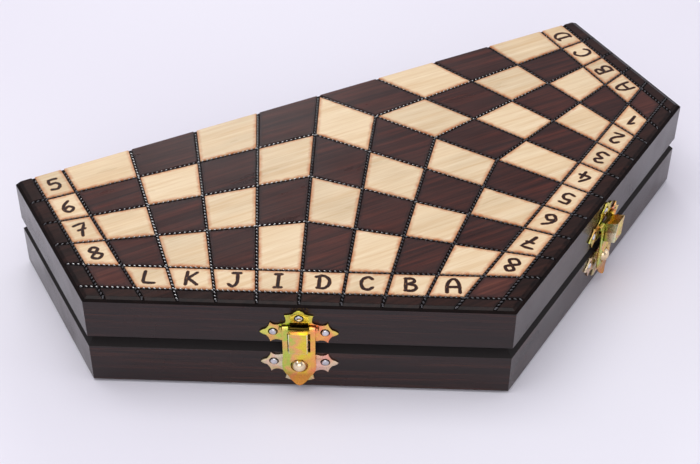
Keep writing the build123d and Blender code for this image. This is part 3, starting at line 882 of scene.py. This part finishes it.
KNUCKLE_RADIUS = 1.1
KNUCKLE_INNER_U = 3.9
BOX_HALF = 3.55
BOX_FOOT = ((2.2, 2.1), (11.6, 1.35))        # w and v of its lower and its upper edge
BOX_FRONT = ((3.4, 7.3), (13.8, 7.6))
BOX_SHEET = 0.4
BOX_ROUND = 0.36
BOX_HOLLOW = 5.0             # how far down its mouth goes
BOX_INSIDE = BOX_HALF - 0.3
BOX_PAINTED_HIGHLIGHT_W = (3.65, 13.5)    # its front edges, painted bright as a highlight, lie below and above these
BOX_PAINTED_HIGHLIGHT_V = 6.7
# The box's hollow, above this w and between these v, gets painted shade
BOX_PAINTED_SHADE_W = 6.0
BOX_PAINTED_SHADE_V = (1.6, 7.25)
BLOCK_FACES = ((3, 2, 1, 0), (4, 5, 6, 7), (0, 1, 5, 4), (1, 2, 6, 5), (3, 0, 4, 7), (2, 3, 7, 6))


def mirrored(half_outline):
    """A closed outline from its right half, listed from one end of the middle line to the other."""
    points = [Vector(p) for p in half_outline]
    left = [Vector((-p.x, p.y)) for p in reversed(points) if p.x > 1e-6]
    return points + left


def bowed(points, bows, steps=4):
    """A line through points, each span bowed to its right by its own depth."""
    line = []
    for a, b, depth in zip(points, points[1:], bows):
        a, b = Vector(a), Vector(b)
        across = Vector(((b - a).y, -(b - a).x)).normalized() * depth
        shares = [k / steps for k in range(steps)]
        line.extend(a.lerp(b, t) + across * 4 * t * (1 - t) for t in shares)
    return [*line, points[-1]]


def ring(radius, u, w, steps=24):
    turns = [2 * math.pi * k / steps for k in range(steps)]
    return [Vector((u + radius * math.cos(t), w + radius * math.sin(t))) for t in turns]


def slots(inner, outer, low, high):
    """The same upright slot on each side of a plate's middle."""
    corners = ((inner, low), (outer, low), (outer, high), (inner, high))
    return [[Vector((s * u, w)) for u, w in corners] for s in (-1, 1)]


def sheet_form(outline, holes, low_v, high_v, edge_round, cuts=()):
    """Cut sheet metal with rounded edges and holes, and with edges across it at the cuts."""
    data = bpy.data.curves.new("sheet_cut", "CURVE")
    data.dimensions = "2D"
    data.fill_mode = "BOTH"
    data.extrude = (high_v - low_v) / 2 - edge_round
    data.bevel_depth = edge_round
    data.bevel_resolution = 1
    data.offset = -edge_round
    for loop in (outline, *holes):
        spline = data.splines.new("POLY")
        spline.points.add(len(loop) - 1)
        for point, p in zip(spline.points, loop):
            point.co = (p.x, p.y, 0, 1)
        spline.use_cyclic_u = True
    cutter = add_object("sheet_cut", data)
    bpy.context.view_layer.update()
    filled = bpy.data.meshes.new_from_object(cutter.evaluated_get(bpy.context.evaluated_depsgraph_get()))
    bpy.data.objects.remove(cutter)
    work = bmesh.new()
    work.from_mesh(filled)
    bmesh.ops.remove_doubles(work, verts=work.verts[:], dist=0.001)
    for w in cuts:
        geometry = work.verts[:] + work.edges[:] + work.faces[:]
        bmesh.ops.bisect_plane(work, geom=geometry, plane_co=(0, w, 0), plane_no=(0, 1, 0))
    bmesh.ops.recalc_face_normals(work, faces=work.faces[:])
    return form_of(work, Matrix.Translation((0, 0, (low_v + high_v) / 2)))


def block_of(corners):
    """A bmesh of a block and its faces, from corners round its bottom and then round its top."""
    work = bmesh.new()
    made = [work.verts.new(c) for c in corners]
    return work, [work.faces.new([made[k] for k in face]) for face in BLOCK_FACES]


def rounded(work, edges, offset, segments, place=Matrix()):
    """The block's form with these edges rounded."""
    bmesh.ops.bevel(work, geom=edges, offset=offset, segments=segments, profile=0.5, affect="EDGES")
    bmesh.ops.recalc_face_normals(work, faces=work.faces[:])
    return form_of(work, place)


def block(low, high, edge_round, segments=2, place=Matrix()):
    """A rounded block between two corners."""
    (x0, y0, z0), (x1, y1, z1) = low, high
    turns = ((x0, y0), (x1, y0), (x1, y1), (x0, y1))
    work, _ = block_of([(x, y, z) for z in (z0, z1) for x, y in turns])
    return rounded(work, work.edges[:], edge_round, segments, place)


def thumb_box():
    """The hasp's raised box, open at its top, with rounded edges."""
    corners = []
    for low, high in (BOX_FOOT, BOX_FRONT):
        corners += [(-BOX_HALF, *low), (BOX_HALF, *low), (BOX_HALF, *high), (-BOX_HALF, *high)]
    work, faces = block_of(corners)
    mouth = faces[-1]
    outer_edges = work.edges[:]
    bmesh.ops.inset_region(work, faces=[mouth], thickness=BOX_SHEET)
    for v in mouth.verts:
        v.co = v.co + Vector((0, -BOX_HOLLOW, 0.35 if v.co.z < 4 else -0.3))
    return rounded(work, outer_edges, BOX_ROUND, 3)


def upper_plate_form():
    """The lid's plate: a crown over two pointed arms, with slots and lugs for the hasp."""
    arm = [(u, UPPER_ARM_W + w) for u, w in ARM]
    outline = [*bowed([*CROWN, *arm], CROWN_BOWS + ARM_BOWS), (0, UPPER_ARM_W - ARM_ROOT)]
    dishes = [ring(NAIL_HOLE, u, w + NAIL_HOLE_RISE) for u, w in UPPER_NAILS]
    holes = [*dishes, *slots(*SLOT), mirrored(WINDOW)]
    parts = [sheet_form(mirrored(outline), holes, 0.0, PLATE_THICKNESS, PLATE_ROUND), block(*PAN, 0.05)]
    for s in (-1, 1):
        low = (s * LUG_U - LUG_HALF, PIVOT_W - LUG_RISE, LUG_V[0])
        high = (s * LUG_U + LUG_HALF, PIVOT_W + LUG_RISE, LUG_V[1])
        parts.append(block(low, high, 0.16))
    return join(parts)


def catch_plate_form():
    """The tray's plate: two pointed arms and a small foot each side of the hasp's tip."""
    arm = [(u, LOWER_ARM_W + w) for u, w in ARM]
    outline = [(0, LOWER_ARM_W + ARM_ROOT), *bowed([*arm, *PLATE_FEET], ARM_BOWS + FEET_BOWS)]
    dishes = [ring(NAIL_HOLE, u, w + NAIL_HOLE_RISE) for u, w in LOWER_NAILS]
    return sheet_form(mirrored(outline), dishes, 0.0, PLATE_THICKNESS, PLATE_ROUND)


def hasp_form():
    """The hasp: a shield of sheet with a hole for the ball, a raised box and a curled tip."""
    flank = [(0, PIVOT_W), (HASP_HALF, PIVOT_W), (HASP_FLANK_HALF, 0.0)]
    shield = mirrored([*flank, *bowed(HASP_SHOULDERS, HASP_BOWS), (0.0, HASP_TIP_W)])
    cuts = [LIP_START_W - k for k in range(4)]
    holes = [ring(BALL_HOLE, 0, LOWER_ARM_W, 40), *slots(*SLIT)]
    vertices, faces = sheet_form(shield, holes, HASP_BACK, HASP_FRONT, HASP_ROUND, cuts)
    reach = LIP_START_W - HASP_TIP_W
    for v in vertices:
        if v.y < LIP_START_W:
            v.z += LIP_KICK * ((LIP_START_W - v.y) / reach) ** 2
    parts = [(vertices, faces), thumb_box()]
    length = HASP_HALF - KNUCKLE_INNER_U
    small = KNUCKLE_RADIUS - HASP_ROUND
    knuckle = [(0.0, 0.0), (small, 0.0), (KNUCKLE_RADIUS, HASP_ROUND)]
    knuckle += [(KNUCKLE_RADIUS, length - HASP_ROUND), (small, length), (0.0, length)]
    for start_u in (-HASP_HALF, KNUCKLE_INNER_U):
        turn = Matrix.Translation((start_u, PIVOT_W, PIVOT_V)) @ Matrix.Rotation(math.pi / 2, 4, "Y")
        parts.append(lathe(knuckle, 24, turn))
    return join(parts)


def wear_and_painted_highlight(form_name, p):
    """How much painted highlight a point gets: the front edges of the hasp's box are painted bright."""
    on_edge = abs(p.x) > BOX_INSIDE or p.y < BOX_PAINTED_HIGHLIGHT_W[0] or p.y > BOX_PAINTED_HIGHLIGHT_W[1]
    return 0.85 if form_name == "hasp" and p.z > BOX_PAINTED_HIGHLIGHT_V and on_edge else 0.0


def painted_shade(form_name, p):
    """How much painted shade a point gets: the inside of the raised box, and the pan behind the plate's
    window.
    """
    if form_name == "hasp":
        low, high = BOX_PAINTED_SHADE_V
        return 1.0 if abs(p.x) < BOX_INSIDE and low < p.z < high and p.y > BOX_PAINTED_SHADE_W else 0.0
    return 1.0 if form_name == "upper_plate" and p.z < PAN_PAINTED_SHADE_V else 0.0


WALL_CORNERS = [Vector((-APOTHEM, 0, 0)), Vector((0, -FOLD_Y, 0)), Vector((APOTHEM, 0, 0))]
for latch, start, end in (("front", *WALL_CORNERS[:2]), ("right", *WALL_CORNERS[1:])):
    along = (end - start).normalized()
    outward = along.cross(Vector((0, 0, 1)))
    axes = Matrix(((along.x, 0, outward.x), (along.y, 0, outward.y), (0, 1, 0))).to_4x4()
    face = Matrix.Translation((start + end) / 2 + Vector((0, 0, CLOSING_Z))) @ axes
    plate_chromate = chromate_material(latch + "_plate_chromate", face)
    catch_chromate = chromate_material(latch + "_catch_chromate", face, silver=0.75)
    hasp_chromate = chromate_material(latch + "_hasp_chromate", face, tip=0.7)
    for form_name, body, form, chromate in (
        ("upper_plate", "lid", upper_plate_form(), plate_chromate),
        ("catch_plate", "tray", catch_plate_form(), catch_chromate),
        ("hasp", latch + "_hasp", hasp_form(), hasp_chromate),
    ):
        name = latch + "_latch_" + form_name
        looks = {}
        # edge carries the painted highlight and shade the painted shade, vertex by vertex.
        for key, rule in (("edge", wear_and_painted_highlight), ("shade", painted_shade)):
            looks[key] = [rule(form_name, v) for v in form[0]]
        pressed = build(name + "_pressed", form, [chromate], body, face, True, None, looks)
        crisp(pressed, 40)
        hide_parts(name)
    dress(latch + "_latch_pin", pin_steel_painted_shade)
    for where, body, spots in (("upper", "lid", UPPER_NAILS), ("lower", "tray", LOWER_NAILS)):
        nails = join([lathe(NAIL_OUTLINE, 24, Matrix.Translation((u, w, 0))) for u, w in spots])
        build(latch + "_latch_" + where + "_nails", nails, [nail_steel], body, face, True)
    seat = PLATE_THICKNESS
    ball_outline = [(0.0, seat), (BALL_RADIUS - 0.1, seat), (BALL_RADIUS, seat + 0.1)]
    ball_outline += arc(0, BALL_CENTRE_V, BALL_RADIUS, 0, 90, 10)
    turned_ball = lathe(ball_outline, 40, Matrix.Translation((0, LOWER_ARM_W, 0)))
    ball = build(latch + "_latch_ball", turned_ball, [ball_steel], "tray", face, True)
    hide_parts(latch + "_latch_ball_stud")

# Hinges

brass = metal_material("hinge_brass", srgb(176, 138, 66), srgb(222, 188, 110), 0.3)
for side in ("left", "right"):
    for half in HALVES:
        dress(half + "_" + side + "_hinge_leaf", brass, 0.08)
    dress(side + "_hinge_pin", brass)

# Chess pieces, turned and carved, lying in their pockets

PIECE_SIZES = {              # base radius and height
    "pawn": (6.0, 27.0),
    "rook": (6.6, 30.0),
    "knight": (6.6, 34.0),
    "bishop": (6.6, 40.0),
    "queen": (7.0, 46.0),
    "king": (7.0, 51.0),
}
HEADS = {                    # waist, the foot's share of the height, and radii at shares of the height
    "rook": (3.3, 0.66, ((3.6, 0.74), (4.75, 0.79))),
    "bishop": (2.4, 0.62, ((2.7, 0.68), (4.0, 0.75), (4.1, 0.8), (3.3, 0.88), (1.6, 0.94), (1.0, 0.955))),
    "queen": (2.7, 0.66, ((3.0, 0.74), (4.9, 0.89), (4.5, 0.91), (3.3, 0.9), (2.6, 0.94), (1.3, 0.955))),
    "king": (
        2.9, 0.6,
        ((3.2, 0.68), (4.9, 0.81), (4.7, 0.835), (3.4, 0.85), (1.6, 0.875), (1.2, 0.885), (0.0, 0.885)),
    ),
}
TURNED_SEGMENTS = 28
CARVED_ROUND = 0.3
HORSE_THICKNESS = 6.0
HORSE_LEVELS = ((-1.0, 0.72), (-0.8, 0.93), (-0.35, 1.0), (0.35, 1.0), (0.8, 0.93), (1.0, 0.72))
HORSE = [                    # (along, up) shares of the base radius and height, from the chest
    (0.62, 0.1), (0.5, 0.22), (0.28, 0.36), (0.2, 0.5), (0.3, 0.58), (0.62, 0.55),
    (0.86, 0.56), (0.93, 0.62), (0.86, 0.7), (0.6, 0.8), (0.36, 0.9), (0.2, 0.93),
    (0.12, 0.99), (-0.02, 0.93), (-0.3, 0.9), (-0.62, 0.78), (-0.8, 0.58), (-0.78, 0.36), (-0.64, 0.1),
]


def foot(base, waist, top):
    """The moulded base of a turned piece, from the table up to its stem."""
    return [
        (0.0, 0.0), (base - 0.5, 0.0), (base - 0.05, 0.5), (base - 0.05, 1.7), (base - 0.5, 2.3),
        (base * 0.76, 2.7), (base * 0.72, 3.7), (base * 0.56, 4.6),
        (waist + (base - waist) * 0.2, top * 0.42), (waist, top * 0.72), (waist * 0.96, top - 1.6),
        (waist + 1.1, top - 0.7), (waist + 1.25, top), (waist + 0.7, top + 0.6),
    ]


def piece_outline(kind):
    """A turned piece as (radius, height) points."""
    base, height = PIECE_SIZES[kind]
    if kind == "pawn":
        return foot(base, 2.2, height - 9.6) + arc(0, height - 4.25, 4.2, -55, 90, 10)
    waist, stem, head = HEADS[kind]
    outline = foot(base, waist, height * stem) + [(radius, height * share) for radius, share in head]
    if kind == "rook":
        outline += [(4.75, height - 0.1), (3.5, height - 0.1), (3.4, height - 2.4), (0.0, height - 2.6)]
    elif kind == "bishop":
        outline += arc(0, height - 1.15, 1.1, -30, 90, 5)
    elif kind == "queen":
        outline += arc(0, height - 1.25, 1.2, -40, 90, 5)
    return outline


def knight(place):
    """A turned foot under a carved horse's head, thinner towards its mane and muzzle."""
    base, height = PIECE_SIZES["knight"]
    neck = [p for p in foot(base, 2.4, height) if p[1] < 5.0] + [(0.0, 4.7)]
    outline = [Vector((u * base, w * height)) for u, w in HORSE]
    centre = sum(outline, Vector((0, 0))) / len(outline)
    vertices = []
    for level, shrink in HORSE_LEVELS:
        for p in outline:
            q = centre + (p - centre) * shrink
            vertices.append(place @ Vector((q.x, level * HORSE_THICKNESS / 2, q.y)))
    rings = stacked(len(outline), len(HORSE_LEVELS))
    faces = [*walls(rings[::-1]), tuple(rings[0]), tuple(rings[-1][::-1])]
    return join([lathe(neck, TURNED_SEGMENTS, place), (vertices, faces)])


def chess_piece(kind, place):
    if kind == "knight":
        return knight(place)
    parts = [lathe(piece_outline(kind), TURNED_SEGMENTS, place)]
    height = PIECE_SIZES[kind][1]
    if kind == "king":
        upright = (-0.9, -0.9, height - 6.2), (0.9, 0.9, height)
        beam = (-2.9, -0.9, height - 3.9), (2.9, 0.9, height - 2.1)
        parts += [block(*bar, CARVED_ROUND, 1, place) for bar in (upright, beam)]
    if kind == "rook":
        for k in range(6):
            turn = place @ Matrix.Rotation(math.radians(60 * k), 4, "Z")
            parts.append(block((3.45, -1.1, height - 2.5), (4.7, 1.1, height), CARVED_ROUND, 1, turn))
    return join(parts)


turned_woods = {
    "pale": turned_material("pale_turned", srgb(206, 164, 108), srgb(232, 200, 150)),
    "brown": turned_material("brown_turned", srgb(96, 50, 26), srgb(142, 80, 44)),
    "black": turned_material("black_turned", srgb(18, 14, 14), srgb(44, 34, 32)),
}
TRAY_KINDS = (["pawn"] * 5, ["pawn"] * 3)        # each colour's pieces in the back row and in the front row
LID_KINDS = (["king", "queen", "bishop", "bishop", "knight"], ["knight", "rook", "rook"])
for half, rows, up in (("tray", TRAY_KINDS, 1), ("lid", LID_KINDS, -1)):
    floor_z = PANEL_THICKNESS + INSERT_FLOOR if up == 1 else BOX_HEIGHT - PANEL_THICKNESS - INSERT_FLOOR
    back_y = FOLD_Y - WALL_THICKNESS - BACK_ROW_MARGIN
    front_y = back_y - max(PIECE_SIZES[kind][1] for kind in rows[0]) - ROW_GAP
    for c, colour in enumerate(turned_woods):
        groups = {}
        for kinds, count, y in ((rows[0], BACK_POCKETS, back_y), (rows[1], FRONT_POCKETS, front_y)):
            for k, kind in enumerate(kinds):
                x = (c * len(kinds) + k - (count - 1) / 2) * POCKET_PITCH
                z = floor_z + up * (PIECE_SIZES[kind][0] + POCKET_CLEARANCE)
                lying = Matrix.Translation((x, y, z)) @ Matrix.Rotation(math.pi / 2, 4, "X")
                groups.setdefault(kind, []).append(chess_piece(kind, lying))
        for kind, parts in groups.items():
            node = colour + "_" + kind + ("s" if len(parts) > 1 else "")
            wood = turned_woods[colour]
            turned = build(node + "_turned", join(parts), [wood], half, smooth=True)
            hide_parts(node)
            crisp(turned, 50)

# Floor, light and camera

floor_shader = Shader("studio_floor", roughness=0.7, specular=0.1)
paper = floor_shader.noise(0.003, detail=1)
paper_tone = floor_shader.ramp(paper, (0.3, srgb(232, 229, 238)), (0.7, srgb(238, 236, 243)))
floor_material = floor_shader.finish(paper_tone)
FLOOR_HALF = 6.0
FLOOR_DROP = 0.0002
floor_corners = [(x * FLOOR_HALF, y * FLOOR_HALF, 0) for x, y in ((-1, -1), (1, -1), (1, 1), (-1, 1))]
floor_mesh = bpy.data.meshes.new("floor")
floor_mesh.from_pydata(floor_corners, [], [(0, 1, 2, 3)])
floor_mesh.materials.append(floor_material)
floor = add_object("floor", floor_mesh)
floor.location.z = -FLOOR_DROP

world = bpy.data.worlds.new("studio")
bpy.context.scene.world = world
world.use_nodes = True
sky = world.node_tree
background = sky.nodes["Background"]
direction = sky.nodes.new("ShaderNodeTexCoord").outputs["Generated"]
height = sky.nodes.new("ShaderNodeSeparateXYZ")
sky.links.new(direction, height.inputs[0])
fade = sky.nodes.new("ShaderNodeValToRGB")
sky.links.new(height.outputs[2], fade.inputs[0])
fade.color_ramp.elements[0].position = 0.12
fade.color_ramp.elements[0].color = srgb(230, 228, 236)
fade.color_ramp.elements[1].position = 0.5
fade.color_ramp.elements[1].color = srgb(166, 164, 174)
sky.links.new(fade.outputs[0], background.inputs["Color"])
background.inputs["Strength"].default_value = 1.0


def softbox(name, place, size, power):
    """A white lamp facing the origin."""
    data = bpy.data.lights.new(name, "AREA")
    data.shape = "RECTANGLE"
    data.size, data.size_y = size
    data.energy = power
    lamp = add_object(name, data)
    lamp.location = place
    lamp.rotation_mode = "QUATERNION"
    lamp.rotation_quaternion = (-Vector(place)).to_track_quat("-Z", "Y")


softbox("key", (-0.3, 0.15, 1.62), (1.5, 1.5), 15.8)
softbox("rim", (0.5, 1.5, 0.66), (0.4, 0.4), 3.4)
softbox("side", (1.3, -0.7, 0.9), (1.4, 1.1), 3.5)
softbox("fill", (-0.9, -1.5, 1.1), (1.6, 1.2), 9)

camera_data = bpy.data.cameras.new("camera")
camera_data.lens = CAMERA_LENS
camera_data.sensor_width = 36
camera = add_object("camera", camera_data)
bpy.context.scene.camera = camera
flat = math.cos(CAMERA_ELEVATION)
back = Vector((math.sin(CAMERA_AZIMUTH) * flat, -math.cos(CAMERA_AZIMUTH) * flat, math.sin(CAMERA_ELEVATION)))
level = Vector((0, 0, 1)).cross(back).normalized()
upright = back.cross(level)
camera_x = level * math.cos(CAMERA_ROLL) + upright * math.sin(CAMERA_ROLL)
camera_y = upright * math.cos(CAMERA_ROLL) - level * math.sin(CAMERA_ROLL)
camera_axes = Matrix((camera_x, camera_y, back)).transposed()
camera.matrix_world = Matrix.Translation(CAMERA_PLACE) @ camera_axes.to_4x4()

bpy.context.scene.view_settings.view_transform = "Standard"
